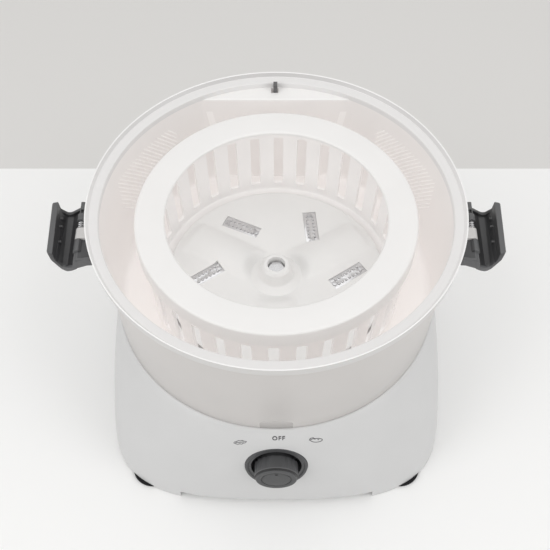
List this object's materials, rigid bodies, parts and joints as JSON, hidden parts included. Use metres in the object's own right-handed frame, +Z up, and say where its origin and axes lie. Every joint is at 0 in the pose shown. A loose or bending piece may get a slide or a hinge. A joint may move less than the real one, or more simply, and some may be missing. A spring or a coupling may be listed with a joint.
{
  "type": "electric potato peeler",
  "caption": "Countertop electric potato peeler and salad spinner with a round translucent bowl, slotted basket, white collar, side latches and a front knob; lid off.",
  "frame": {"origin": "on the counter, under the axis of the bowl", "axes": "+Z up along the bowl's axis, the knob faces -Y, +X to the right as seen from the knob"},
  "size_m": [0.289, 0.2508, 0.176],
  "materials": {
    "base_white": "fine satin moulded ABS",
    "inner_white": "satin moulded ABS",
    "feet_rubber": "matt rubber",
    "knob_grey": "fine satin, moulded",
    "latch_grey": "fine satin, moulded",
    "bowl_milky": "milky translucent polypropylene",
    "basket_milky": "milky translucent polypropylene",
    "collar_white": "satin moulded",
    "disc_white": "satin moulded",
    "blade_steel": "pressed stainless strip",
    "screw_steel": "zinc plated",
    "shaft_steel": "ground steel",
    "bearing_steel": "polished races",
    "bush_brass": "turned",
    "seal_rubber": "soft rubber",
    "drive_nylon": "glass filled nylon",
    "gear_nylon": "natural acetal",
    "case_grey": "moulded nylon",
    "motor_steel": "plated can",
    "magnet_dark": "sintered ferrite",
    "brush_carbon": "pressed carbon",
    "armature_copper": "laminated steel and lacquered copper wire",
    "switch_black": "moulded",
    "plunger_red": "moulded",
    "board_green": "coated laminate",
    "capacitor_amber": "moulded box",
    "terminal_green": "moulded"
  },
  "bodies": {
    "base": {"base_shell": "base_white", "base_cover": "inner_white", "rubber_feet": "feet_rubber", "cover_screws": "screw_steel", "deck": "inner_white", "deck_screws": "screw_steel", "knob_bezel": "knob_grey", "bezel_screws": "screw_steel", "switch_body": "switch_black", "cord_gland": "switch_black", "gear_case": "case_grey", "gear_lid": "case_grey", "gear_lid_screws": "screw_steel", "lower_bearing": "bearing_steel", "upper_bearing": "bearing_steel", "shaft_seal": "seal_rubber", "idler_pin": "shaft_steel", "motor_can": "motor_steel", "motor_end_cap": "switch_black", "motor_magnets": "magnet_dark", "motor_brushes": "brush_carbon", "motor_screws": "screw_steel", "circuit_board": "board_green", "board_capacitor": "capacitor_amber", "terminal_block": "terminal_green", "interlock_switch": "switch_black"},
    "knob": {"knob": "knob_grey", "switch_shaft": "shaft_steel"},
    "output": {"output_gear": "gear_nylon", "output_shaft": "shaft_steel", "drive_dog": "drive_nylon"},
    "idler": {"idler_gear": "gear_nylon"},
    "motor_rotor": {"armature": "armature_copper", "motor_shaft": "shaft_steel", "motor_pinion": "bush_brass", "cooling_fan": "gear_nylon"},
    "switch_plunger": {"interlock_plunger": "plunger_red"},
    "bowl": {"bowl": "bowl_milky", "bowl_bush": "bush_brass", "spindle_seal": "seal_rubber", "latch_pin_left": "shaft_steel", "latch_pin_right": "shaft_steel", "rod_spring": "shaft_steel"},
    "spindle": {"spindle": "shaft_steel", "spindle_socket": "drive_nylon"},
    "disc": {"peeling_disc": "disc_white", "disc_blades": "blade_steel", "blade_rivets": "blade_steel"},
    "basket": {"basket": "basket_milky"},
    "collar": {"collar": "collar_white"},
    "latch_left": {"latch_left": "latch_grey"},
    "latch_right": {"latch_right": "latch_grey"},
    "interlock_rod": {"interlock_rod": "latch_grey"}
  },
  "joints": [
    {"name": "knob_turn", "type": "hinge", "parent": "base", "child": "knob", "pos_m": [0, -0.116, 0.0523], "axis": [0, 1, 0], "range_deg": [-45, 45]},
    {"name": "output_spin", "type": "hinge", "parent": "base", "child": "output", "pos_m": [0, 0, 0.0675], "axis": [0, 0, 1], "continuous": true},
    {"name": "idler_spin", "type": "hinge", "parent": "base", "child": "idler", "pos_m": [0.03, 0.01803, 0.064], "axis": [0, 0, 1], "continuous": true},
    {"name": "motor_spin", "type": "hinge", "parent": "base", "child": "motor_rotor", "pos_m": [0.01764, 0.0386, 0.04], "axis": [0, 0, 1], "continuous": true},
    {"name": "bowl_lift", "type": "slide", "parent": "base", "child": "bowl", "axis": [0, 0, 1], "range_m": [0, 0.12]},
    {"name": "spindle_spin", "type": "hinge", "parent": "bowl", "child": "spindle", "pos_m": [0, 0, 0.09], "axis": [0, 0, 1], "continuous": true},
    {"name": "disc_lift", "type": "slide", "parent": "spindle", "child": "disc", "axis": [0, 0, 1], "range_m": [0, 0.045]},
    {"name": "basket_lift", "type": "slide", "parent": "bowl", "child": "basket", "axis": [0, 0, 1], "range_m": [0, 0.1]},
    {"name": "collar_lift", "type": "slide", "parent": "basket", "child": "collar", "axis": [0, 0, 1], "range_m": [0, 0.06]},
    {"name": "latch_left_swing", "type": "hinge", "parent": "bowl", "child": "latch_left", "pos_m": [-0.124, 0, 0.149], "axis": [0, 1, 0], "range_deg": [0, 90]},
    {"name": "latch_right_swing", "type": "hinge", "parent": "bowl", "child": "latch_right", "pos_m": [0.124, 0, 0.149], "axis": [0, -1, 0], "range_deg": [0, 90]},
    {"name": "interlock_rod_push", "type": "slide", "parent": "bowl", "child": "interlock_rod", "axis": [0, 0, -1], "range_m": [0, 0.003], "stiffness_N_per_m": 300, "springref_m": -0.004, "deforming": ["rod_spring"]},
    {"name": "switch_plunger_push", "type": "slide", "parent": "base", "child": "switch_plunger", "axis": [0, 0, -1], "range_m": [0, 0.003], "stiffness_N_per_m": 200, "springref_m": -0.002}
  ],
  "couplings": [
    {"joint": "idler_spin", "follows": "output_spin", "ratio": -4},
    {"joint": "motor_spin", "follows": "output_spin", "ratio": 16},
    {"joint": "spindle_spin", "follows": "output_spin", "ratio": 1},
    {"joint": "switch_plunger_push", "follows": "interlock_rod_push", "ratio": 1}
  ]
}
